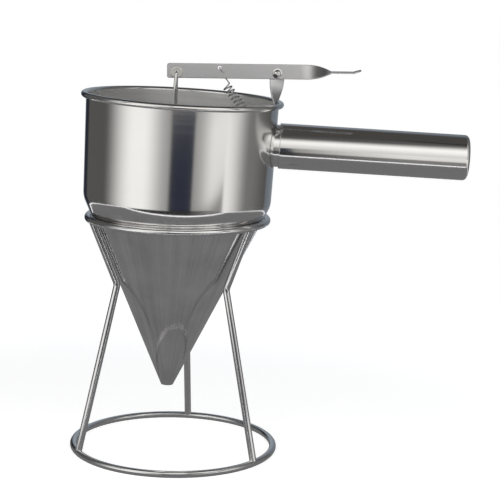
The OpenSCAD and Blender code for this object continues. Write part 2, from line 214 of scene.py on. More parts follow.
def empty_sheet(owner: bpy.types.Material | bpy.types.World) -> NodeSheet:
    """Gives a material or a world an empty node sheet.

    Args:
        owner: the material or the world.

    Returns:
        Its sheet.
    """
    owner.use_nodes = True
    owner.node_tree.nodes.clear()
    return NodeSheet(owner.node_tree)


# ---------------------------------------------------------------- finishes


class Grain(Enum):
    """The way in which a piece of steel was brushed or polished."""

    AROUND_FUNNEL = "around the funnel's axis"
    DOWN_FUNNEL = "down the cone"
    AROUND_HANDLE = "around the handle"
    ALONG_LEVER = "along the lever"
    DRAWN = "along drawn wire"


@dataclass(frozen=True)
class Seat:
    """Where the funnel stands: it leans in the stand's ring about its apex.

    Attributes:
        apex: the point of the funnel's cone, in the stand's frame.
        apex_drop: how far the apex lies below the outlet, along the axis.
        lean: how far the funnel leans toward its handle, in degrees.
    """

    apex: tuple[float, float, float] = (-5.5566 * MM, 0.0, 36.0770 * MM)
    apex_drop: float = 9.1096 * MM
    lean: float = 2.05

    def matrix(self) -> Matrix:
        """The funnel's own frame, with its origin at the outlet, in the stand's frame."""
        return (
            Matrix.Translation(self.apex)
            @ Matrix.Rotation(math.radians(self.lean), 4, "Y")
            @ Matrix.Translation((0, 0, self.apex_drop))
        )


SEAT = Seat()
# Where brushed lines run round a piece, and how far drawn wire's lines stand apart in x and y.
BOWL_RADIUS = 64.0 * MM
CONE_RADIUS = 45.0 * MM
HANDLE_RADIUS = 15.5 * MM
HANDLE_HEIGHT = 172.0 * MM
DRAWN_SKEW = (1.7, 1.3)


@dataclass(frozen=True)
class SteelFinish:
    """One finish of stainless steel.

    The brushing has two layers of noise, hairlines and broad bands, both stretched along the
    grain, and an even clouding that does not follow it.

    Attributes:
        name: the material's name.
        slot: the record's material slot; not used.
        colour: the steel's own colour.
        roughness: how matt it is on the whole.
        spread: how much the roughness varies from place to place.
        grain: the way of the brushing.
        depth: the height of the brushing's scratches, in metres.
        lines: how many scratch lines there are to a metre, across the grain.
        clouding: how much darker than its colour the steel is in places.
        streaks: how much of that follows the grain in broad streaks.
    """

    # Width and length of hairlines and of broad bands, as parts of the scratch lines' number to a
    # metre, with the layer of the noise that each is taken from, and how fine the clouding is.
    HAIRS: ClassVar[tuple[float, float, float]] = (1.0, 90.0, 0.0)
    BANDS: ClassVar[tuple[float, float, float]] = (9.0, 500.0, 3.7)
    CLOUD_SCALE: ClassVar[float] = 28.0

    name: str
    slot: str
    colour: Colour
    roughness: float
    spread: float
    grain: Grain
    depth: float
    lines: float
    clouding: float
    streaks: float = 0.6

    def _grain_space(self, sheet: NodeSheet) -> tuple[Wire, Wire]:
        """Coordinates that run across and along the brushing, in metres.

        Args:
            sheet: the material's node sheet.

        Returns:
            The distance across the grain and the distance along it.
        """
        place = sheet.add("ShaderNodeTexCoord").out("Object")
        to_funnel = SEAT.matrix().inverted()
        offset = to_funnel.to_translation()
        turn = to_funnel.to_euler("XYZ")
        settled = sheet.add(
            "ShaderNodeMapping", {"vector_type": "POINT"},
            {"Vector": place, "Location": tuple(offset), "Rotation": tuple(turn)},
        ).out("Vector")
        parts = sheet.add("ShaderNodeSeparateXYZ", None, {"Vector": settled})
        x, y, z = parts.out("X"), parts.out("Y"), parts.out("Z")
        if self.grain is Grain.AROUND_FUNNEL:
            return z, y.turned_from(x) * BOWL_RADIUS
        if self.grain is Grain.DOWN_FUNNEL:
            return y.turned_from(x) * CONE_RADIUS, z
        if self.grain is Grain.AROUND_HANDLE:
            return x, y.turned_from(z - HANDLE_HEIGHT) * HANDLE_RADIUS
        if self.grain is Grain.ALONG_LEVER:
            return z + y, x
        return x * DRAWN_SKEW[0] + y * DRAWN_SKEW[1], z

    @staticmethod
    def _noise(sheet: NodeSheet, place: Wire, scale: float, detail: float, roughness: float) -> Wire:
        """Noise from 0 to 1 at a place, of that scale, detail and roughness."""
        return sheet.add("ShaderNodeTexNoise", None, {
            "Vector": place, "Scale": scale, "Detail": detail, "Roughness": roughness}).out("Fac")

    def material(self) -> bpy.types.Material:
        """Builds the material, or hands back the one that is already built."""
        found = bpy.data.materials.get(self.name)
        if found:
            return found
        made = bpy.data.materials.new(self.name)
        sheet = empty_sheet(made)
        across, along = self._grain_space(sheet)

        def stretched(width: float, stretch: float, layer: float) -> Wire:
            """Grain space scaled to lines of a width and a length, at a layer of the noise."""
            return sheet.add("ShaderNodeCombineXYZ", None, {
                "X": across * (self.lines / width), "Y": along * (self.lines / stretch),
                "Z": layer}).out("Vector")

        fine = self._noise(sheet, stretched(*self.HAIRS), 1.0, 4.0, 0.7)
        broad = self._noise(sheet, stretched(*self.BANDS), 1.0, 2.0, 0.5)
        cloud = self._noise(sheet, sheet.add("ShaderNodeTexCoord").out("Object"),
                            self.CLOUD_SCALE, 3.0, 0.55)
        # Noise lies round a half, so each layer is weighed by how far it strays from that.
        shade = (cloud - 0.5) * 1.2 + (fine - 0.5) * 0.8 + (broad - 0.5) * (2.4 * self.streaks) + 0.5
        dim = tuple(c * (1.0 - self.clouding) for c in self.colour)
        tone = sheet.add("ShaderNodeMix", {"data_type": "RGBA"}, {
            "Factor_Float": shade.within(0.0, 1.0),
            "A_Color": (*dim, 1.0), "B_Color": (*self.colour, 1.0)})
        matt = (broad - 0.5) * (2.0 * self.spread) + (cloud - 0.5) * self.spread + self.roughness
        relief = sheet.add("ShaderNodeBump", None, {
            "Strength": 1.0, "Distance": self.depth, "Height": fine * 0.75 + broad * 0.25})
        steel = sheet.add("ShaderNodeBsdfPrincipled", None, {
            "Base Color": tone.out("Result_Color"), "Metallic": 1.0,
            "Roughness": matt, "Normal": relief.out("Normal")})
        sheet.add("ShaderNodeOutputMaterial", None, {"Surface": steel.out("BSDF")})
        return made


MIRROR_SHEET = SteelFinish("mirror_polished_sheet", "polished_sheet", (0.80, 0.795, 0.785),
                           0.13, 0.03, Grain.AROUND_FUNNEL, 2.0e-7, 5200.0, 0.05, 0.15)
SATIN_LINING = SteelFinish("satin_lining", "polished_sheet", (0.96, 0.96, 0.95),
                           0.34, 0.06, Grain.AROUND_FUNNEL, 6.0e-7, 4200.0, 0.08)
MIRROR_TUBE = SteelFinish("mirror_polished_tube", "polished_sheet", (0.79, 0.785, 0.775),
                          0.12, 0.03, Grain.AROUND_HANDLE, 2.0e-7, 5200.0, 0.05, 0.15)
SATIN_CONE = SteelFinish("satin_cone", "satin_sheet", (0.97, 0.955, 0.95),
                         0.11, 0.04, Grain.DOWN_FUNNEL, 6.0e-7, 1100.0, 0.34, 0.3)
BRUSHED_STRIP = SteelFinish("brushed_strip", "brushed_strip", (0.73, 0.73, 0.725),
                            0.17, 0.05, Grain.ALONG_LEVER, 7.0e-7, 3400.0, 0.42, 1.1)
PALE_BOSS = SteelFinish("pale_pressed_ring", "brushed_strip", (0.82, 0.815, 0.77),
                        0.42, 0.05, Grain.ALONG_LEVER, 1.0e-6, 4200.0, 0.08)
BRIGHT_WIRE = SteelFinish("bright_drawn_wire", "bright_wire", (0.80, 0.80, 0.80),
                          0.14, 0.03, Grain.DRAWN, 3.0e-7, 2600.0, 0.06)
SPRING_WIRE = SteelFinish("spring_wire", "spring_wire", (0.97, 0.97, 0.98),
                          0.20, 0.03, Grain.DRAWN, 2.0e-7, 2600.0, 0.05)


# ---------------------------------------------------------------- making meshes


def new_piece(name: str, mesh: bpy.types.Mesh) -> bpy.types.Object:
    """Puts a mesh in the scene as an object at the origin.

    Args:
        name: the object's name.
        mesh: its mesh, in the stand's frame.

    Returns:
        The object.
    """
    made = bpy.data.objects.new(name, mesh)
    bpy.context.scene.collection.objects.link(made)
    return made


def ease_shading(mesh: bpy.types.Mesh, angle: float = 32.0) -> None:
    """Shades a mesh smooth, and keeps edges sharper than an angle in degrees crisp."""
    mesh.shade_smooth()
    mesh.set_sharp_from_angle(angle=math.radians(angle))


def outward_piece(name: str, work: bmesh.types.BMesh) -> bpy.types.Object:
    """Turns a closed shape's faces outward and makes an object of it with eased shading.

    Args:
        name: the object's name.
        work: the shape, which is freed.

    Returns:
        The object.
    """
    bmesh.ops.recalc_face_normals(work, faces=work.faces)
    mesh = bpy.data.meshes.new(name)
    work.to_mesh(mesh)
    work.free()
    ease_shading(mesh)
    return new_piece(name, mesh)


def turned(name: str, outline: Sequence[Point2], place: Matrix, segments: int = 288,
           shift: Callable[[float, float, float], Vector] | None = None) -> bpy.types.Object:
    """Turns a closed outline round Z and places it.

    Args:
        name: the new object's name.
        outline: distance from the axis and height, going once round the section.
        place: where the turned piece's own frame goes.
        segments: steps in a full turn.
        shift: moves a point, given its distance, angle and height, before it is placed.

    Returns:
        The object.
    """
    work = bmesh.new()
    rows = []
    for i in range(segments):
        angle = 2 * math.pi * i / segments
        row = []
        for r, z in outline:
            plain = Vector((r * math.cos(angle), r * math.sin(angle), z))
            row.append(work.verts.new(place @ (shift(r, angle, z) if shift else plain)))
        rows.append(row)
    count = len(outline)
    for i in range(segments):
        here, there = rows[i], rows[(i + 1) % segments]
        for j in range(count):
            k = (j + 1) % count
            work.faces.new((here[j], there[j], there[k], here[k]))
    bmesh.ops.remove_doubles(work, verts=work.verts, dist=1e-7)
    return outward_piece(name, work)


def quarter(step: int, steps: int) -> float:
    """The angle of a step in a quarter turn, in radians."""
    return math.pi / 2 * step / steps


def arc(centre: Point2, radius: float, start: float, end: float, steps: int) -> list[Point2]:
    """Both ends of an arc, from one angle in degrees to another, and the points between them."""
    angles = [math.radians(start + (end - start) * i / steps) for i in range(steps + 1)]
    return [(centre[0] + radius * math.cos(a), centre[1] + radius * math.sin(a)) for a in angles]


# The width of the flat faces beside a strip's rounded edges.
FLAT_MARGIN = 0.3 * MM


@dataclass(frozen=True)
class Station:
    """One place along a flat strip.

    Attributes:
        centre: the middle of the strip's section.
        across: the unit vector along its width.
        through: the unit vector through its thickness.
        width: how wide the strip is here.
    """

    centre: Vector
    across: Vector
    through: Vector
    width: float

    def ring(self, thickness: float, edge: float) -> list[Vector]:
        """The section's points, once round its rounded edges.

        Args:
            thickness: the strip's thickness.
            edge: the rounding of its edges.

        Returns:
            The points.
        """
        steps = 4
        half_w, half_t = self.width / 2, thickness / 2
        flat = min(FLAT_MARGIN, (half_w - edge) * 0.5)
        points: list[Vector] = []
        for u, v, start in ((1, 1, 0.0), (-1, 1, 90.0), (-1, -1, 180.0), (1, -1, 270.0)):
            turn = arc((u * (half_w - edge), v * (half_t - edge)), edge, start, start + 90.0, steps)
            inner = (u * (half_w - edge - flat), v * half_t)
            turn = turn + [inner] if u * v > 0 else [inner] + turn
            points.extend(self.centre + self.across * a + self.through * b for a, b in turn)
        return points


def strip(name: str, stations: Sequence[Station], thickness: float, edge: float,
          place: Matrix) -> bpy.types.Object:
    """Lofts a flat strip with rounded edges through its stations.

    Args:
        name: the new object's name.
        stations: the places along it.
        thickness: its thickness.
        edge: the rounding of its edges.
        place: where its own frame goes.

    Returns:
        The object.
    """
    work = bmesh.new()
    rings = [[work.verts.new(place @ p) for p in station.ring(thickness, edge)] for station in stations]
    count = len(rings[0])
    for here, there in zip(rings, rings[1:]):
        for j in range(count):
            k = (j + 1) % count
            work.faces.new((here[j], here[k], there[k], there[j]))
    work.faces.new(rings[0])
    work.faces.new(list(reversed(rings[-1])))
    return outward_piece(name, work)


def drilled(piece: bpy.types.Object, holes: Sequence[tuple[Vector, Vector, float]],
            depth: float) -> bpy.types.Object:
    """Drills round holes through a piece.

    Args:
        piece: the piece.
        holes: each hole's middle, direction and radius.
        depth: length of the drill on each side of the middle.

    Returns:
        The same piece.
    """
    work = bmesh.new()
    for middle, way, radius in holes:
        turn = Vector((0, 0, 1)).rotation_difference(way).to_matrix().to_4x4()
        bmesh.ops.create_cone(work, cap_ends=True, segments=40, radius1=radius, radius2=radius,
                              depth=2 * depth, matrix=Matrix.Translation(middle) @ turn)
    mesh = bpy.data.meshes.new("drills")
    work.to_mesh(mesh)
    work.free()
    drills = new_piece("drills", mesh)
    cutter = piece.modifiers.new("holes", "BOOLEAN")
    cutter.operation = "DIFFERENCE"
    cutter.solver = "EXACT"
    cutter.object = drills
    settle(piece)
    bpy.data.objects.remove(drills)
    return piece


@dataclass(frozen=True)
class WireTree:
    """The Geometry Nodes tree that sweeps round wire along a path.

    A path is a row of loose edges. Its corners are rounded, and then it gets a round section.
    """

    name: str = "sweep_round_wire"

    def tree(self) -> bpy.types.NodeTree:
        """Builds the tree, or hands back the one that is already built."""
        found = bpy.data.node_groups.get(self.name)
        if found:
            return found
        tree = bpy.data.node_groups.new(self.name, "GeometryNodeTree")
        for label, kind, way in (
                ("Path", "Geometry", "INPUT"), ("Wire Radius", "Float", "INPUT"),
                ("Bend Radius", "Float", "INPUT"), ("Bend Steps", "Int", "INPUT"),
                ("Section Sides", "Int", "INPUT"), ("Steel", "Material", "INPUT"),
                ("Wire", "Geometry", "OUTPUT")):
            tree.interface.new_socket(label, in_out=way, socket_type=f"NodeSocket{kind}")
        sheet = NodeSheet(tree)
        given = sheet.add("NodeGroupInput")
        line = sheet.add("GeometryNodeMeshToCurve", None, {"Mesh": given.out("Path")})
        rounded = sheet.add("GeometryNodeFilletCurve", {"mode": "POLY"}, {
            "Curve": line.out("Curve"), "Radius": given.out("Bend Radius"),
            "Limit Radius": True, "Count": given.out("Bend Steps")})
        section = sheet.add("GeometryNodeCurvePrimitiveCircle", {"mode": "RADIUS"}, {
            "Resolution": given.out("Section Sides"), "Radius": given.out("Wire Radius")})
        swept = sheet.add("GeometryNodeCurveToMesh", None, {
            "Curve": rounded.out("Curve"), "Profile Curve": section.out("Curve"), "Fill Caps": True})
        real = sheet.add("GeometryNodeRealizeInstances", None, {"Geometry": swept.out("Mesh")})
        dressed = sheet.add("GeometryNodeSetMaterial", None, {
            "Geometry": real.out("Geometry"), "Material": given.out("Steel")})
        sheet.add("NodeGroupOutput", None, {"Wire": dressed.out("Geometry")})
        return tree

    def sweep(self, name: str, path: Sequence[Vector], wire_radius: float, finish: SteelFinish,
              closed: bool = False, bend_radius: float = 0.0, bend_steps: int = 10,
              sides: int = 20) -> bpy.types.Object:
        """Sweeps wire along a path and keeps the plain mesh.

        Args:
            name: the new object's name.
            path: the path's points, in the stand's frame.
            wire_radius: half the wire's thickness.
            finish: the wire's finish.
            closed: whether the path's end joins its start.
            bend_radius: the rounding at the path's corners.
            bend_steps: stretches in each rounding.
            sides: sides of the wire's section.

        Returns:
            The object.
        """
        mesh = bpy.data.meshes.new(name)
        edges = [(i, i + 1) for i in range(len(path) - 1)]
        if closed:
            edges.append((len(path) - 1, 0))
        mesh.from_pydata([tuple(p) for p in path], edges, [])
        made = new_piece(name, mesh)
        modifier = made.modifiers.new("wire", "NODES")
        modifier.node_group = self.tree()
        values = {"Wire Radius": wire_radius, "Bend Radius": bend_radius, "Bend Steps": bend_steps,
                  "Section Sides": sides, "Steel": finish.material()}
        for item in modifier.node_group.interface.items_tree:
            if item.in_out == "INPUT" and item.name in values:
                modifier[item.identifier] = values[item.name]
        return settle(made)


WIRE_TREE = WireTree()


def settle(piece: bpy.types.Object) -> bpy.types.Object:
    """Turns a piece with modifiers into a plain mesh with eased shading.

    Args:
        piece: the piece.

    Returns:
        The same piece.
    """
    view = bpy.context.evaluated_depsgraph_get()
    final = bpy.data.meshes.new_from_object(piece.evaluated_get(view), depsgraph=view)
    piece.modifiers.clear()
    piece.data = final
    work = bmesh.new()
    work.from_mesh(final)
    bmesh.ops.recalc_face_normals(work, faces=work.faces)
    work.to_mesh(final)
    work.free()
    ease_shading(final)
    return piece


def dress(piece: bpy.types.Object, finish: SteelFinish, body: str, *nodes: str,
          stretched: tuple[str, Vector, Vector] | None = None) -> bpy.types.Object:
    """Finishes a piece, lets it ride on its body unless it is stretched, and stand for its solids.

    Args:
        piece: the piece, in its final shape.
        finish: its finish.
        body: the CAD body that it moves with.
        nodes: the CAD nodes that it stands for.
        stretched: a second body and the points between which the piece would stretch; only whether it
            is given is read, and then the piece stays in place on no body.

    Returns:
        The piece.
    """
    piece.data.materials.clear()
    piece.data.materials.append(finish.material())
    if stretched:
        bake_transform(piece)
    else:
        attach(piece, body)
    if nodes:
        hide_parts(*nodes)
    log.info("%s: %d faces, rides on %s, stands for %s", piece.name, len(piece.data.polygons),
             body, ", ".join(nodes) or "nothing")
    return piece


def eased_solid(frame: dict[str, Any], node: str, name: str, edge: float,
                angle: float = 28.0) -> bpy.types.Object:
    """A copy of a stamped piece's solid with its edges eased.

    Args:
        frame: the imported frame.
        node: the solid's node.
        name: the new object's name.
        edge: width of the easing.
        angle: the least angle between faces that counts as an edge, in degrees.

    Returns:
        The object.
    """
    mesh = frame["nodes"][node].data.copy()
    mesh.name = name
    work = bmesh.new()
    work.from_mesh(mesh)
    bmesh.ops.remove_doubles(work, verts=work.verts, dist=1e-6)
    bmesh.ops.dissolve_degenerate(work, edges=work.edges, dist=1e-6)
    bmesh.ops.dissolve_limit(work, angle_limit=math.radians(0.5), verts=work.verts, edges=work.edges)
    bmesh.ops.recalc_face_normals(work, faces=work.faces)
    work.to_mesh(mesh)
    work.free()
    made = new_piece(name, mesh)
    bevel = made.modifiers.new("eased edges", "BEVEL")
    bevel.width = edge
    bevel.segments = 3
    bevel.limit_method = "ANGLE"
    bevel.angle_limit = math.radians(angle)
    return settle(made)


# ---------------------------------------------------------------- the stand


RING_STEPS = 240
STAND_SIDES = 28
WELD_SINK = 0.3


@dataclass
class WireStand:
    """The two rings and three kneed legs, all of one round wire.

    Attributes:
        wire: the wire's diameter.
        base_ring: the base ring's centre-line diameter.
        top_ring: the top ring's centre-line diameter.
        height: the top ring's height, on its centre line.
        azimuth: where the rear leg stands, in degrees from the handle.
        knee: the legs' knee, as distance from the stand's axis and height.
        knee_radius: the bend at the knee.
    """

    wire: float = 4.8 * MM
    base_ring: float = 140.0 * MM
    top_ring: float = 122.8 * MM
    height: float = 163.2 * MM
    azimuth: float = 84.0
    knee: Point2 = (43.166 * MM, 119.0 * MM)
    knee_radius: float = 8.0 * MM

    def ring(self, name: str, diameter: float, height: float) -> bpy.types.Object:
        """Sweeps one ring of the stand.

        Args:
            name: the new object's name, which with stand_ in place of wire_ is its node's.
            diameter: the ring's centre-line diameter.
            height: its height.

        Returns:
            The dressed ring.
        """
        turns = [2 * math.pi * i / RING_STEPS for i in range(RING_STEPS)]
        path = [Vector((diameter / 2 * math.cos(t), diameter / 2 * math.sin(t), height)) for t in turns]
        made = WIRE_TREE.sweep(name, path, self.wire / 2, BRIGHT_WIRE, closed=True, sides=STAND_SIDES)
        return dress(made, BRIGHT_WIRE, "stand", name.replace("wire_", "stand_"))

    def leg(self, name: str, azimuth: float) -> bpy.types.Object:
        """Sweeps one leg from weld to weld.

        Args:
            name: the new object's name, which with stand_ in place of wire_ is its node's.
            azimuth: where the leg stands, in degrees.

        Returns:
            The dressed leg.
        """
        outward = Vector((math.cos(math.radians(azimuth)), math.sin(math.radians(azimuth)), 0))
        up = Vector((0, 0, 1))
        foot = outward * (self.base_ring / 2) + up * (self.wire / 2)
        knee = outward * self.knee[0] + up * self.knee[1]
        head = outward * (self.top_ring / 2) + up * self.height
        foot += (knee - foot).normalized() * (self.wire * WELD_SINK)
        head += (knee - head).normalized() * (self.wire * WELD_SINK)
        made = WIRE_TREE.sweep(name, [foot, knee, head], self.wire / 2, BRIGHT_WIRE,
                               bend_radius=self.knee_radius, bend_steps=14, sides=STAND_SIDES)
        return dress(made, BRIGHT_WIRE, "stand", name.replace("wire_", "stand_"))

    def build(self) -> None:
        """Builds the rings and the legs."""
        self.ring("wire_base_ring", self.base_ring, self.wire / 2)
        self.ring("wire_top_ring", self.top_ring, self.height)
        for i, side in enumerate(("rear", "left", "right")):
            self.leg(f"wire_leg_{side}", self.azimuth + 120.0 * i)


# ---------------------------------------------------------------- the hopper


WALL_SHARES = (0.72, 0.8, 0.9, 0.96)
BEND_STEPS = 14
BEAD_STEPS = 40
CONE_STEPS = 12
BOWL_SIDES = 360
CONE_SIDES = 300


@dataclass
class Hopper:
    """The bowl and the cone, of one sheet, in the funnel's own frame.

    Attributes:
        sheet: thickness of the steel.
        bore: the outlet's opening.
        slope: angle between the cone's side and its axis, in degrees.
        shoulder: outer diameter where the wall's line meets the cone's.
        mouth: outer diameter of the wall at the rim.
        height: height of the rim above the outlet.
        bend: outer radius of the bend between cone and wall.
        bead: diameter of the rolled bead round the rim.
        bite: how far the bead is let into the sheet.
        seam_drop: distance down the axis from the bend to the seam.
    """

    sheet: float = 0.8 * MM
    bore: float = 6.6 * MM
    slope: float = 24.65
    shoulder: float = 128.3 * MM
    mouth: float = 130.6 * MM
    height: float = 200.0 * MM
    bend: float = 16.0 * MM
    bead: float = 4.0 * MM
    bite: float = 0.6 * MM
    seam_drop: float = 2.0 * MM

    def __post_init__(self) -> None:
        """Works out the corner, the bend, the flare of the wall and the places of seam and bead."""
        tilt = math.radians(self.slope)
        self.outlet_r = self.bore / 2 + self.sheet / math.cos(tilt)
        self.corner = (self.shoulder / 2, (self.shoulder / 2 - self.outlet_r) / math.tan(tilt))
        self.flare = math.atan((self.mouth / 2 - self.corner[0]) / (self.height - self.corner[1]))
        reach = self.bend * math.tan((tilt - self.flare) / 2)
        self.bend_low = (self.corner[0] - reach * math.sin(tilt),
                         self.corner[1] - reach * math.cos(tilt))
        self.bend_centre = (self.bend_low[0] - self.bend * math.cos(tilt),
                            self.bend_low[1] + self.bend * math.sin(tilt))
        self.seam = self.bend_low[1] - self.seam_drop
        self.bead_at = self.mouth / 2 - self.bite + self.bead / 2

    def wall_r(self, z: float) -> float:
        """Outer radius of the wall at a height."""
        return self.corner[0] + (z - self.corner[1]) * math.tan(self.flare)

    def cone_r(self, z: float, inset: float = 0.0) -> float:
        """Radius of the cone's outside at a height, drawn in by an inset of the sheet."""
        tilt = math.radians(self.slope)
        return self.outlet_r + z * math.tan(tilt) - inset / math.cos(tilt)

    def bowl_outline(self) -> list[Point2]:
        """The bowl's section: up the outside, round the bead and down the inside."""
        lean = math.degrees(self.flare)
        bead_r = self.bead / 2
        meet = math.degrees(math.acos((bead_r - self.bite) / bead_r))
        wall = [(self.wall_r(self.height * s), self.height * s) for s in WALL_SHARES]
        outside = [(self.cone_r(self.seam), self.seam)]
        outside += arc(self.bend_centre, self.bend, -self.slope, -lean, BEND_STEPS) + wall
        bead = arc((self.bead_at, self.height), bead_r, meet - 180, 180, BEAD_STEPS)
        inside = [(self.wall_r(self.height) - self.sheet, self.height)]
        inside += [(r - self.sheet, z) for r, z in reversed(wall)]
        inside += arc(self.bend_centre, self.bend - self.sheet, -lean, -self.slope, BEND_STEPS)
        inside += [(self.cone_r(self.seam, self.sheet), self.seam)]
        return outside + bead + inside

    def cone_outline(self) -> list[Point2]:
        """The cone's section, from the outlet to the seam and back."""
        rise = [self.seam * i / CONE_STEPS for i in range(CONE_STEPS + 1)]
        outside = [(self.cone_r(z), z) for z in rise]
        return outside + [(self.cone_r(z, self.sheet), z) for z in reversed(rise)]

    def line(self, piece: bpy.types.Object, place: Matrix) -> None:
        """Gives the faces that look inward the satin finish of the inside.

        Args:
            piece: the bowl or the cone.
            place: the funnel's frame.
        """
        back = place.inverted()
        piece.data.materials.append(SATIN_LINING.material())
        for face in piece.data.polygons:
            spot = back @ face.center
            way = back.to_3x3() @ face.normal
            from_bead = math.hypot(math.hypot(spot.x, spot.y) - self.bead_at, spot.z - self.height)
            on_bead = from_bead < self.bead * 0.55
            if way.x * spot.x + way.y * spot.y < 0 and not on_bead:
                face.material_index = 1

    def build(self) -> None:
        """Builds the bowl and the cone."""
        place = SEAT.matrix()
        for name, outline, sides, finish, node in (
                ("bowl", self.bowl_outline(), BOWL_SIDES, MIRROR_SHEET, "hopper_bowl"),
                ("cone", self.cone_outline(), CONE_SIDES, SATIN_CONE, "hopper_cone")):
            self.line(dress(turned(name, outline, place, sides), finish, "hopper", node), place)


# ---------------------------------------------------------------- the handle


HANDLE_SIDES = 288
NECK_SIDES = 144


@dataclass
class Handle:
    """The neck, the tube and its pressed end cap.

    Attributes:
        hopper: the hopper that it is welded to.
        diameter: the tube's outer diameter.
        wall: the thickness of its steel.
        reach: distance from the funnel's axis to the closed end.
        height: height of its axis above the outlet.
        neck_show: how much of the neck shows.
        edge: rounding of the cap.
        lip: rounding of the tube's open edge.
        fit: clearance of the neck in the tube.
        spigot: how far the neck reaches into the tube.
    """

    hopper: Hopper
    diameter: float = 31.0 * MM
    wall: float = 0.8 * MM
    reach: float = 196.0 * MM
    height: float = 172.0 * MM
    neck_show: float = 2.4 * MM
    edge: float = 3.0 * MM
    lip: float = 0.6 * MM
    fit: float = 0.3 * MM
    spigot: float = 6.0 * MM

    def place(self) -> Matrix:
        """The handle's frame, whose Z axis runs outward along it."""
        return (SEAT.matrix() @ Matrix.Translation((0, 0, self.height))
                @ Matrix.Rotation(math.radians(90), 4, "Y"))

    def neck_shift(self, r: float, angle: float, z: float) -> Vector:
        """Draws the neck's root in to the round of the bowl.

        Args:
            r: distance from the handle's axis.
            angle: angle round the handle's axis.
            z: distance along the handle, or less than nothing for the root.

        Returns:
            The point in the handle's frame.
        """
        up, side = r * math.cos(angle), r * math.sin(angle)
        if z < 0:
            wall = self.hopper.wall_r(self.height - up) - self.hopper.sheet / 2
            z = math.sqrt(wall * wall - side * side)
        return Vector((up, side, z))

    def build(self) -> None:
        """Builds the neck, the tube and the cap."""
        r = self.diameter / 2
        neck_r = r - self.wall - self.fit
        start = self.hopper.wall_r(self.height) + self.neck_show
        end = self.reach - self.edge
        root, tip = -1.0, start + self.spigot
        neck = [(neck_r, root), (neck_r, tip), (neck_r - self.wall, tip), (neck_r - self.wall, root)]
        tube = arc((r - self.lip, start + self.lip), self.lip, -90, 0, 8)
        tube += [(r, start + (end - start) * s) for s in (0.25, 0.5, 0.75, 1.0)]
        tube += [(r - self.wall, end), (r - self.wall, start + self.lip), (r - self.wall, start)]
        cap = arc((r - self.edge, end), self.edge, 0, 90, 16)
        cap += [((r - self.edge) * s, end + self.edge) for s in (0.66, 0.33, 0.0)]
        cap += [(0.0, end + self.edge - self.wall), (r - self.edge, end + self.edge - self.wall)]
        cap += arc((r - self.edge, end), self.edge - self.wall, 70, 0, 6)
        for name, outline, sides, shift, node in (
                ("handle_root", neck, NECK_SIDES, self.neck_shift, "handle_neck"),
                ("handle_grip", tube, HANDLE_SIDES, None, "handle_tube"),
                ("handle_end", cap, HANDLE_SIDES, None, "handle_end_cap")):
            dress(turned(name, outline, self.place(), sides, shift), MIRROR_TUBE, "hopper", node)


# ---------------------------------------------------------------- pivot, lever and valve


TWIST_STEPS = 40
HEAD_STEPS = 8
EAR_STEPS = 10
DRILL_DEPTH = 4 * MM
# Widths of the eased edges on the pieces that keep their solids' shapes.
EASED = {"valve_plug": 0.2 * MM, "pivot_rivet": 0.12 * MM, "pivot_washer": 0.08 * MM}
# How far the pressed ring's outer slope starts inside its edge.
BOSS_STEP = 0.02 * MM


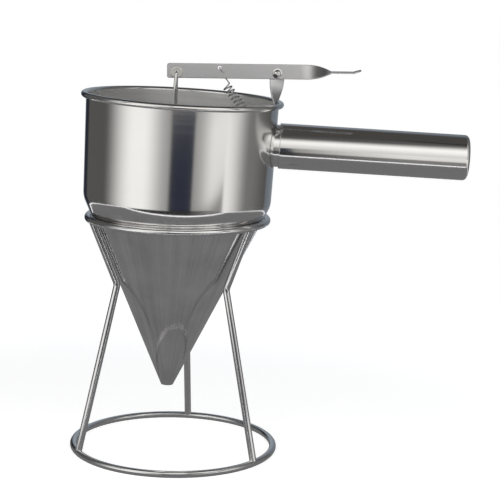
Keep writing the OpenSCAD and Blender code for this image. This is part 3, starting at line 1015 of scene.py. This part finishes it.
@dataclass
class LeverWork:
    """The post, the rivet, the lever and the valve.

    Attributes:
        hopper: the hopper that the post stands in.
        pivot: the pivot's distance from the axis and height above the outlet.
        tilt: how far the lever climbs toward its tab, in degrees.
        rod_arm: distance from the pivot to the rod's hole.
        rod: the rod's diameter.
        rod_bend: radius of the rod's bends.
        rod_seat: how far above the plug's base the rod ends.
        hook_leg: length of the short leg of the rod's hook.
        hook_slant: how far that leg stands off at its end.
        rod_back: how far behind the funnel's middle plane the rod hangs.
        hook_front: how far in front of it the short leg hangs.
        plug_base: height of the plug above the outlet.
        lever_w: width of the lever's strip.
        lever_t: thickness of the lever's strip.
        rise: height of the strip's middle above the pivot.
        tail: length of strip beyond the rod's hole.
        corner: corner radius at the strip's end.
        twist: where the lever's quarter turn starts and ends.
        twist_power: how late in that length most of the turn comes.
        tab: length of the thumb tab and of its end that turns up.
        toe: angle by which that end turns up, in degrees.
        toe_bend: length of the bend before it.
        boss: outer diameter and height of the pressed ring round the rod's hole.
        boss_rounding: how far its outer slope and its inner lip are rounded.
        boss_sink: how deep it is let into the lever.
        rod_hole: diameter of the rod's hole.
        spring_hole: the spring's hole, as distance from the pivot and above it, and its diameter.
        post_w: width of the post's strip.
        post_t: thickness of the post's strip.
        post_y: how far behind the funnel's middle plane the post stands.
        post_gap: distance between the post's foot and the bowl's wall.
        foot_bend: radius of the bend between the post's foot and its ear.
        levels: heights of the post's twist top, twist base, joggle base and foot.
        ear_tip: distance from the axis to the tip of the post's ear.
        ear_hole: distance from the axis to the hole in the ear, and its diameter.
        edges: rounding of the lever's edges and of the post's.
    """

    hopper: Hopper
    pivot: Point2 = (62.8 * MM, 221.0 * MM)
    tilt: float = 2.9
    rod_arm: float = 68.1 * MM
    rod: float = 2.2 * MM
    rod_bend: float = 1.3 * MM
    rod_seat: float = 1.4 * MM
    hook_leg: float = 13.0 * MM
    hook_slant: float = 0.6 * MM
    rod_back: float = 1.9 * MM
    hook_front: float = 2.25 * MM
    plug_base: float = 3.0 * MM
    lever_w: float = 10.0 * MM
    lever_t: float = 1.0 * MM
    rise: float = 1.1 * MM
    tail: float = 6.5 * MM
    corner: float = 1.5 * MM
    twist: Point2 = (15.0 * MM, 36.6 * MM)
    twist_power: float = 1.45
    tab: Point2 = (20.0 * MM, 5.0 * MM)
    toe: float = 18.0
    toe_bend: float = 1.2 * MM
    boss: Point2 = (8.4 * MM, 0.35 * MM)
    boss_rounding: Point2 = (0.5 * MM, 0.3 * MM)
    boss_sink: float = 0.05 * MM
    rod_hole: float = 2.7 * MM
    spring_hole: tuple[float, float, float] = (-39.1 * MM, 3.3 * MM, 2.4 * MM)
    post_w: float = 9.8 * MM
    post_t: float = 1.2 * MM
    post_y: float = 1.4 * MM
    post_gap: float = 0.3 * MM
    foot_bend: float = 1.4 * MM
    levels: tuple[float, float, float, float] = (217.5 * MM, 198.0 * MM, 188.0 * MM, 174.0 * MM)
    ear_tip: float = 55.569 * MM
    ear_hole: Point2 = (58.019 * MM, 2.2 * MM)
    edges: Point2 = (0.32 * MM, 0.34 * MM)

    def on_lever(self, along: float, above: float, y: float = 0.0) -> Vector:
        """The point that far along the strip from the pivot, above it and across it."""
        a = math.radians(self.tilt)
        return Vector((self.pivot[0] + along * math.cos(a) - above * math.sin(a), y,
                       self.pivot[1] + along * math.sin(a) + above * math.cos(a)))

    def valve(self, frame: dict[str, Any]) -> None:
        """Builds the valve's rod and plug.

        Args:
            frame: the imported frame.
        """
        place = SEAT.matrix()
        eye = self.on_lever(-self.rod_arm, 0.0)
        top = Vector((eye.x, self.rod_back, eye.z))
        front = Vector((eye.x, -self.hook_front, eye.z))
        end = front + Vector((-self.hook_slant, 0, -self.hook_leg))
        foot = Vector((0, 0, self.plug_base + self.rod_seat))
        path = [place @ p for p in (foot, top, front, end)]
        made = WIRE_TREE.sweep("valve_wire", path, self.rod / 2, BRIGHT_WIRE,
                               bend_radius=self.rod_bend, bend_steps=8)
        dress(made, BRIGHT_WIRE, "valve", "valve_rod")
        plug = eased_solid(frame, "valve_plug", "outlet_plug", EASED["valve_plug"])
        dress(plug, SATIN_CONE, "valve", "valve_plug")

    def lever_stations(self) -> list[Station]:
        """The lever's strip, from its square end through the twist to the turned-up toe."""
        up, front = Vector((0, 0, 1)), Vector((0, -1, 0))
        left = -self.rod_arm - self.tail
        made: list[Station] = []
        for i in range(7):
            out = self.corner * (1 - math.cos(quarter(i, 6)))
            lost = self.corner - math.sqrt(max(self.corner ** 2 - (self.corner - out) ** 2, 0.0))
            made.append(Station(Vector((left + out, 0, self.rise)), up, front, self.lever_w - 2 * lost))
        for share in (0.3, 0.6, 0.85):
            along = left + (self.twist[0] - left) * share
            made.append(Station(Vector((along, 0, self.rise)), up, front, self.lever_w))
        for i in range(TWIST_STEPS + 1):
            share = i / TWIST_STEPS
            a = math.radians(90.0 * share ** self.twist_power)
            along = self.twist[0] + (self.twist[1] - self.twist[0]) * share
            made.append(Station(Vector((along, 0, self.rise)), Vector((0, math.sin(a), math.cos(a))),
                                Vector((0, -math.cos(a), math.sin(a))), self.lever_w))
        made.extend(self.tab_stations())
        return made

    def tab_stations(self) -> list[Station]:
        """The thumb tab beyond the twist, with its turned-up toe and round end."""
        length, toe = self.tab
        bend = length - toe
        half = self.lever_w / 2
        marks = [bend * s for s in (0.35, 0.7)]
        marks += [bend + self.toe_bend * (i / 4 - 0.5) for i in range(5)]
        marks += [length - half + half * math.sin(quarter(i, EAR_STEPS)) for i in range(EAR_STEPS)]
        blunt = (0.35 * half) ** 2 * 0.6
        made = []
        for mark in sorted(set(marks)):
            past = max(0.0, min(1.0, (mark - bend) / self.toe_bend + 0.5))
            a = math.radians(self.toe * past)
            lift = max(0.0, mark - bend) * math.tan(math.radians(self.toe))
            to_end = max(0.0, mark - (length - half))
            width = 2 * math.sqrt(max(half ** 2 - to_end ** 2, blunt))
            made.append(Station(Vector((self.twist[1] + mark, 0, self.rise + lift)), Vector((0, 1, 0)),
                                Vector((-math.sin(a), 0, math.cos(a))), width))
        return made

    def post_stations(self) -> list[Station]:
        """The post's strip, from its round head down the twist to the foot and out along the ear."""
        x, z = self.pivot
        twist_top, twist_base, foot_top, _ = self.levels
        half, behind = self.post_w / 2, self.post_y
        inner = self.hopper.wall_r(foot_top) - self.hopper.sheet
        foot_x = math.sqrt(inner ** 2 - (half + behind) ** 2) - self.post_t / 2 - self.post_gap
        ahead, back = Vector((1, 0, 0)), Vector((0, 1, 0))
        made: list[Station] = []
        for i in range(HEAD_STEPS + 1):
            high = half * math.cos(quarter(i, HEAD_STEPS)) * 0.99
            made.append(Station(Vector((x, behind, z + high)), ahead, back,
                                2 * math.sqrt(half ** 2 - high ** 2)))
        for i in range(TWIST_STEPS + 1):
            share = i / TWIST_STEPS
            a = math.radians(90.0 * share)
            spot = Vector((x, behind, twist_top + (twist_base - twist_top) * share))
            made.append(Station(spot, Vector((math.cos(a), math.sin(a), 0)),
                                Vector((-math.sin(a), math.cos(a), 0)), self.post_w))
        for i in range(1, 7):
            share = i / 6
            shift = x + (foot_x - x) * (1 - math.cos(math.pi * share)) / 2
            made.append(Station(Vector((shift, behind, twist_base + (foot_top - twist_base) * share)),
                                back, -ahead, self.post_w))
        made.extend(self.ear_stations(foot_x))
        return made

    def ear_stations(self, foot_x: float) -> list[Station]:
        """The foot's bend and the ear that carries the spring.

        Args:
            foot_x: distance from the axis to the foot's middle.

        Returns:
            The stations below the joggle.
        """
        bend, half = self.foot_bend, self.post_w / 2
        floor = self.levels[3] + self.post_t / 2
        back = Vector((0, 1, 0))
        made = []
        for i in range(HEAD_STEPS + 1):
            a = quarter(i, HEAD_STEPS)
            spot = Vector((foot_x - bend + bend * math.cos(a), self.post_y,
                           floor + bend - bend * math.sin(a)))
            made.append(Station(spot, back, Vector((-math.cos(a), 0, math.sin(a))), self.post_w))
        for i in range(1, EAR_STEPS):
            along = half * math.sin(quarter(i, EAR_STEPS))
            made.append(Station(Vector((self.ear_tip + half - along, self.post_y, floor)), back,
                                Vector((0, 0, 1)), 2 * math.sqrt(half ** 2 - along ** 2)))
        return made

    def lever_frame(self) -> Matrix:
        """The lever's own frame, with X along its strip and the pivot at its origin."""
        return (SEAT.matrix() @ Matrix.Translation((self.pivot[0], 0, self.pivot[1]))
                @ Matrix.Rotation(math.radians(-self.tilt), 4, "Y"))

    def lever(self) -> None:
        """Builds the lever with its two drilled holes and the pressed ring round one of them."""
        place = self.lever_frame()
        made = strip("thumb_lever", self.lever_stations(), self.lever_t, self.edges[0], place)
        way = place.to_3x3() @ Vector((0, 1, 0))
        along, above, across = self.spring_hole
        drilled(made, [(place @ Vector((-self.rod_arm, 0, 0)), way, self.rod_hole / 2),
                       (place @ Vector((along, 0, above)), way, across / 2)], DRILL_DEPTH)
        dress(made, BRUSHED_STRIP, "lever", "lever")
        outer, high = self.boss[0] / 2, self.boss[1]
        slope, lip = self.boss_rounding
        hole = self.rod_hole / 2
        ring = [(outer, -self.boss_sink)]
        ring += [(outer - slope * (1 - math.cos(quarter(i, 6))) - BOSS_STEP,
                  high * math.sin(quarter(i, 6))) for i in range(7)]
        ring += [(hole + lip * (1 - math.sin(quarter(i, 4))), high * math.cos(quarter(i, 4)))
                 for i in range(5)]
        ring.append((hole, -self.boss_sink))
        ahead = (place @ Matrix.Translation((-self.rod_arm, -self.lever_t / 2, 0))
                 @ Matrix.Rotation(math.radians(90), 4, "X"))
        dress(turned("pressed_ring", ring, ahead, 72), PALE_BOSS, "lever")

    def post(self) -> None:
        """Builds the post with the spring's hole in its ear."""
        place = SEAT.matrix()
        made = strip("twisted_post", self.post_stations(), self.post_t, self.edges[1], place)
        drilled(made, [(place @ Vector((self.ear_hole[0], self.post_y, self.levels[3])),
                        place.to_3x3() @ Vector((0, 0, 1)), self.ear_hole[1] / 2)], DRILL_DEPTH)
        dress(made, BRUSHED_STRIP, "hopper", "pivot_post")

    def build(self, frame: dict[str, Any]) -> None:
        """Builds the lever, the post, the rivet with its washer and the valve.

        Args:
            frame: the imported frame.
        """
        self.lever()
        self.post()
        for node, name in (("pivot_rivet", "pivot_pin"), ("pivot_washer", "pivot_ring")):
            dress(eased_solid(frame, node, name, EASED[node]), MIRROR_TUBE, "hopper", node)
        self.valve(frame)


CURL_STEPS = 24


@dataclass
class ReturnSpring:
    """The small pull spring from the lever down to the post's ear.

    Attributes:
        work: the lever work that it belongs to.
        curl: outer diameter of its curls.
        wire: diameter of its wire.
        curls: how many curls there are.
        top: the upper curl's centre, seen from the hole in the lever.
        base: the lower curl's centre, seen from the hole in the post's ear.
        middle: the place of the coil across the lever.
        back: how far the hook stands off the lever's middle.
        plate: how far the lower hook reaches up through the ear.
        bend: radius of the wire's bends.
    """

    work: LeverWork
    curl: float = 6.5 * MM
    wire: float = 1.0 * MM
    curls: int = 15
    top: Point2 = (5.1 * MM, -11.8 * MM)
    base: Point2 = (-2.4 * MM, 5.4 * MM)
    middle: float = 1.4 * MM
    back: float = 1.3 * MM
    plate: float = 1.2 * MM
    bend: float = 0.5 * MM

    def holes(self) -> tuple[Vector, Vector]:
        """The middles of the holes in the ear and in the lever, in the funnel's frame."""
        return (Vector((self.work.ear_hole[0], self.middle, self.work.levels[3])),
                self.work.on_lever(*self.work.spring_hole[:2]))

    def ends(self) -> tuple[Vector, Vector]:
        """The coil's lower and upper end, in the funnel's frame."""
        ear, hook = self.holes()
        return (ear + Vector((self.base[0], 0, self.base[1])),
                Vector((hook.x + self.top[0], self.middle, hook.z + self.top[1])))

    def path(self) -> list[Vector]:
        """The wire's way, hook by hook, in the funnel's frame."""
        step = 1.5 * self.wire
        ear, hook = self.holes()
        start = [ear + Vector((-2 * step, 0, -step)), ear + Vector((-step, 0, -step)),
                 ear + Vector((0, 0, -step / 2)), ear + Vector((0, 0, self.plate + step / 2))]
        low, high = self.ends()
        axis = (high - low).normalized()
        side = Vector((0, 1, 0))
        up = side.cross(axis)
        radius = (self.curl - self.wire) / 2
        coil = []
        for i in range(self.curls * CURL_STEPS + 1):
            n = i / CURL_STEPS
            turn = 2 * math.pi * n
            coil.append(low + (high - low) * (n / self.curls)
                        + (up * math.cos(turn) + side * math.sin(turn)) * radius)
        end = [Vector((hook.x + along * step, y, hook.z - down * step)) for along, y, down in (
            (1, self.back, 2), (0, self.back, 0), (0, -self.back, 0), (1, -self.back, 1),
            (2, -self.back, 2))]
        return start + coil + end

    def build(self) -> None:
        """Builds the spring."""
        place = SEAT.matrix()
        made = WIRE_TREE.sweep("pull_spring", [place @ p for p in self.path()], self.wire / 2,
                               SPRING_WIRE, bend_radius=self.bend, bend_steps=3, sides=10)
        low, high = self.ends()
        dress(made, SPRING_WIRE, "hopper", "return_spring",
              stretched=("lever", place @ low, place @ high))


# ---------------------------------------------------------------- the studio


@dataclass(frozen=True)
class TentCard:
    """A patch of the light tent round the object, which only its reflections show.

    Attributes:
        name: the card's name.
        light: its colour.
        turn: how bright it is at places round the object, in degrees from the camera, right positive.
        rise: how bright it is at heights, in degrees above the middle of the funnel.
        distance: how far away it stands, in metres.
    """

    STEPS: ClassVar[tuple[int, int]] = (120, 24)

    name: str
    light: Colour
    turn: tuple[Point2, ...]
    rise: tuple[Point2, ...]
    distance: float = 0.55

    def material(self) -> bpy.types.Material:
        """A glow that fades toward the card's edges."""
        made = bpy.data.materials.new(self.name)
        sheet = empty_sheet(made)
        fade = sheet.add("ShaderNodeAttribute", {"attribute_name": "fade"}).out("Fac")
        glow = sheet.add("ShaderNodeEmission", None, {"Color": (*self.light, 1.0), "Strength": fade})
        sheet.add("ShaderNodeOutputMaterial", None, {"Surface": glow.out("Emission")})
        return made

    @staticmethod
    def bright_at(spot: float, stops: tuple[Point2, ...]) -> float:
        """How bright the card is at a place between its stops, easing from each to the next.

        Args:
            spot: the place, in degrees.
            stops: places and their brightness, in order.

        Returns:
            The brightness.
        """
        for (here, bright), (there, beyond) in zip(stops, stops[1:]):
            if spot <= there:
                share = max(0.0, (spot - here) / (there - here))
                return bright + (beyond - bright) * share * share * (3.0 - 2.0 * share)
        return stops[-1][1]

    def spot(self, centre: Vector, turn: float, rise: float) -> Vector:
        """The card's point at places on its two scales, seen from the centre."""
        a, e = math.radians(turn), math.radians(rise)
        return centre + self.distance * Vector((
            math.sin(a) * math.cos(e), -math.cos(a) * math.cos(e), math.sin(e)))

    def build(self, centre: Vector) -> None:
        """Hangs the card.

        Args:
            centre: the point that it stands round.
        """
        across, up = self.STEPS
        points, fades = [], []
        for j in range(up + 1):
            for i in range(across + 1):
                turn = self.turn[0][0] + (self.turn[-1][0] - self.turn[0][0]) * i / across
                rise = self.rise[0][0] + (self.rise[-1][0] - self.rise[0][0]) * j / up
                points.append(self.spot(centre, turn, rise))
                fades.append(self.bright_at(turn, self.turn) * self.bright_at(rise, self.rise))
        row = across + 1
        faces = [(j * row + i, j * row + i + 1, (j + 1) * row + i + 1, (j + 1) * row + i)
                 for j in range(up) for i in range(across)]
        mesh = bpy.data.meshes.new(self.name)
        mesh.from_pydata([tuple(p) for p in points], [], faces)
        attribute = mesh.attributes.new("fade", "FLOAT", "POINT")
        attribute.data.foreach_set("value", fades)
        made = new_piece(self.name, mesh)
        made.data.materials.append(self.material())
        made.visible_camera = False


class FlatCard(TentCard):
    """A flat upright card in front of the object, with its scales in metres to the right and up."""

    def spot(self, centre: Vector, turn: float, rise: float) -> Vector:
        """The card's point that far right of the centre and that high above the table."""
        return Vector((centre.x + turn, -self.distance, rise))


WARM_WHITE = (1.0, 0.985, 0.96)
SOFT_WHITE = (1.0, 0.99, 0.97)
DIM_CEILING = (0.075, 0.07, 0.066)
FULL_TURN = ((0, 1), (360, 1))
WALL_RISE = ((-21, 1.0), (42, 1.0), (60, 0.0))
FRONT_DISTANCE = 0.54


@dataclass
class Studio:
    """The floor, the tent, the world and the camera.

    Attributes:
        centre: the middle of the tent.
        cards: the dark tent and its bright cards.
        table_lift: how far above the floor the mirrored table lies.
        table_reach: how far from the middle it ends.
        table_front: how far in front of the object it ends.
        white_near: how white the floor is of itself near the object, before any light.
        camera_place: where the camera stands.
        camera_pitch: how far it looks down, in degrees.
        camera_roll: how far it is rolled, in degrees.
        lens: its focal length for a 36 mm film.
    """

    centre: tuple[float, float, float] = (0.0, 0.0, 0.2)
    cards: list[TentCard] = field(default_factory=lambda: [
        TentCard("tent", (0.026, 0.030, 0.050), FULL_TURN, ((-19.0, 1), (90, 1)), 0.61),
        TentCard("card_left", SOFT_WHITE,
                 ((-140, 0.0), (-134, 0.1), (-95, 0.1), (-50, 1.1), (-40, 1.1), (-10, 0.4), (-6, 0.0)),
                 WALL_RISE),
        TentCard("card_right", SOFT_WHITE,
                 ((17.5, 0.0), (19, 0.4), (45, 1.0), (55, 1.0), (90, 0.2), (130, 0.1)), WALL_RISE),
        TentCard("card_back", (0.42, 0.47, 0.53), ((130, 0.4), (190, 0.75), (214, 0.0)),
                 ((-21.2, 1.0), (34, 1.0), (56, 0.0))),
        TentCard("card_front", WARM_WHITE, ((-9, 0.0), (-6, 1.0), (50, 1.1), (66, 0.0)),
                 ((-2, 0.0), (0, 0.75), (30, 1.15), (52, 0.1), (64, 0.08)), FRONT_DISTANCE),
        TentCard("card_front_left", WARM_WHITE, ((-66, 0.0), (-50, 1.0), (-9, 1.0)),
                 ((12, 0.9), (30, 1.15), (52, 0.1), (64, 0.08)), FRONT_DISTANCE),
        TentCard("card_top", DIM_CEILING, FULL_TURN, ((62, 1), (90, 1)), 0.53),
        TentCard("card_side", DIM_CEILING, ((64, 1), (170, 1)), ((46, 1), (62, 1)), 0.535),
        FlatCard("card_handle", WARM_WHITE, ((0.066, 0.4), (0.18, 0.95), (0.3, 0.95)),
                 ((0.05, 0.25), (0.12, 0.25), (0.145, 0.95), (0.21, 1.0)), 0.22),
    ])
    table_lift: float = 0.2 * MM
    table_reach: float = 0.52
    table_front: float = 0.255
    white_near: float = 0.78
    camera_place: tuple[float, float, float] = (50.3 * MM, -1068.9 * MM, 338.6 * MM)
    camera_pitch: float = 10.42
    camera_roll: float = 1.62
    lens: float = 113.5

    def seen_white(self, sheet: NodeSheet) -> Wire:
        """One for the rays of the camera, of reflections and of what shows through."""
        path = sheet.add("ShaderNodeLightPath")
        return path.out("Is Camera Ray") + path.out("Is Glossy Ray") + path.out("Is Transmission Ray")

    def level_square(self, name: str, half: float, height: float) -> tuple[
            bpy.types.Object, NodeSheet, Wire, Wire]:
        """Lays a level square with an empty material.

        Args:
            name: the square's name.
            half: half its side.
            height: its height.

        Returns:
            The square, its material's sheet, the distance from its middle and the place from
            front to back, both as values on that sheet.
        """
        mesh = bpy.data.meshes.new(name)
        mesh.from_pydata([(-half, -half, height), (half, -half, height), (half, half, height),
                          (-half, half, height)], [], [(0, 1, 2, 3)])
        made = new_piece(name, mesh)
        paint = bpy.data.materials.new(name)
        sheet = empty_sheet(paint)
        made.data.materials.append(paint)
        parts = sheet.add("ShaderNodeSeparateXYZ", None, {
            "Vector": sheet.add("ShaderNodeTexCoord").out("Object")})
        x, y = parts.out("X"), parts.out("Y")
        return made, sheet, (x * x + y * y).root(), y

    def floor(self) -> None:
        """Lays the pale floor, which is white by its own colour and keeps the object's shadow."""
        _, sheet, out, _ = self.level_square("floor", 8.0, 0.0)
        cloth = sheet.add("ShaderNodeBsdfDiffuse", None, {"Color": (0.8, 0.8, 0.8, 1.0)})
        lifted = sheet.add("ShaderNodeEmission", None, {
            "Color": (1.0, 1.0, 1.0, 1.0),
            "Strength": (self.white_near + out.within(0.2, 0.6) * (1.0 - self.white_near))
            * self.seen_white(sheet)})
        white = sheet.add("ShaderNodeAddShader", None, {
            "0": cloth.out("BSDF"), "1": lifted.out("Emission")})
        sheet.add("ShaderNodeOutputMaterial", None, {"Surface": white.out("Shader")})

    def table(self) -> None:
        """Lays the grey table top with its pale edge, which only the polished steel mirrors."""
        made, sheet, out, depth = self.level_square("mirrored_table", 0.6, self.table_lift)
        past = (out - self.table_reach).larger(-1.0 * depth - self.table_front)
        edge = past.within(-0.036, -0.026) * (1.0 - past.within(-0.002, 0.008))
        grey = 0.185 - past.within(0.0, 0.01) * 0.15
        glow = sheet.add("ShaderNodeEmission", None, {
            "Color": (1.0, 1.0, 1.02, 1.0), "Strength": edge * 1.35 + grey})
        sheet.add("ShaderNodeOutputMaterial", None, {"Surface": glow.out("Emission")})
        made.visible_camera = made.visible_diffuse = made.visible_shadow = False
        made.visible_transmission = False

    def world(self) -> None:
        """A plain white world, which the dark tent keeps off the object."""
        world = bpy.data.worlds.new("white_room")
        sheet = empty_sheet(world)
        white = sheet.add("ShaderNodeBackground", None, {
            "Color": (1.0, 1.0, 1.0, 1.0), "Strength": self.seen_white(sheet)})
        sheet.add("ShaderNodeOutputWorld", None, {"Surface": white.out("Background")})
        bpy.context.scene.world = world

    def camera(self) -> None:
        """Sets the camera up at the photograph's place."""
        data = bpy.data.cameras.new("camera")
        data.lens = self.lens
        data.sensor_width = 36.0
        data.clip_end = 100.0
        made = bpy.data.objects.new("camera", data)
        bpy.context.scene.collection.objects.link(made)
        made.matrix_world = (Matrix.Translation(self.camera_place)
                             @ Matrix.Rotation(math.radians(90.0 - self.camera_pitch), 4, "X")
                             @ Matrix.Rotation(math.radians(self.camera_roll), 4, "Z"))
        bpy.context.scene.camera = made

    def build(self) -> None:
        """Sets the whole studio up."""
        self.floor()
        self.table()
        self.world()
        for card in self.cards:
            card.build(Vector(self.centre))
        self.camera()
        bpy.context.scene.view_settings.view_transform = "Standard"


def main() -> None:
    """Builds every sub-assembly over the frame, then the studio."""
    logging.basicConfig(level=logging.INFO, format="%(name)s: %(message)s")
    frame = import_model()
    WireStand().build()
    hopper = Hopper()
    hopper.build()
    Handle(hopper).build()
    work = LeverWork(hopper)
    work.build(frame)
    ReturnSpring(work).build()
    Studio().build()


if __name__ == "__main__":
    main()
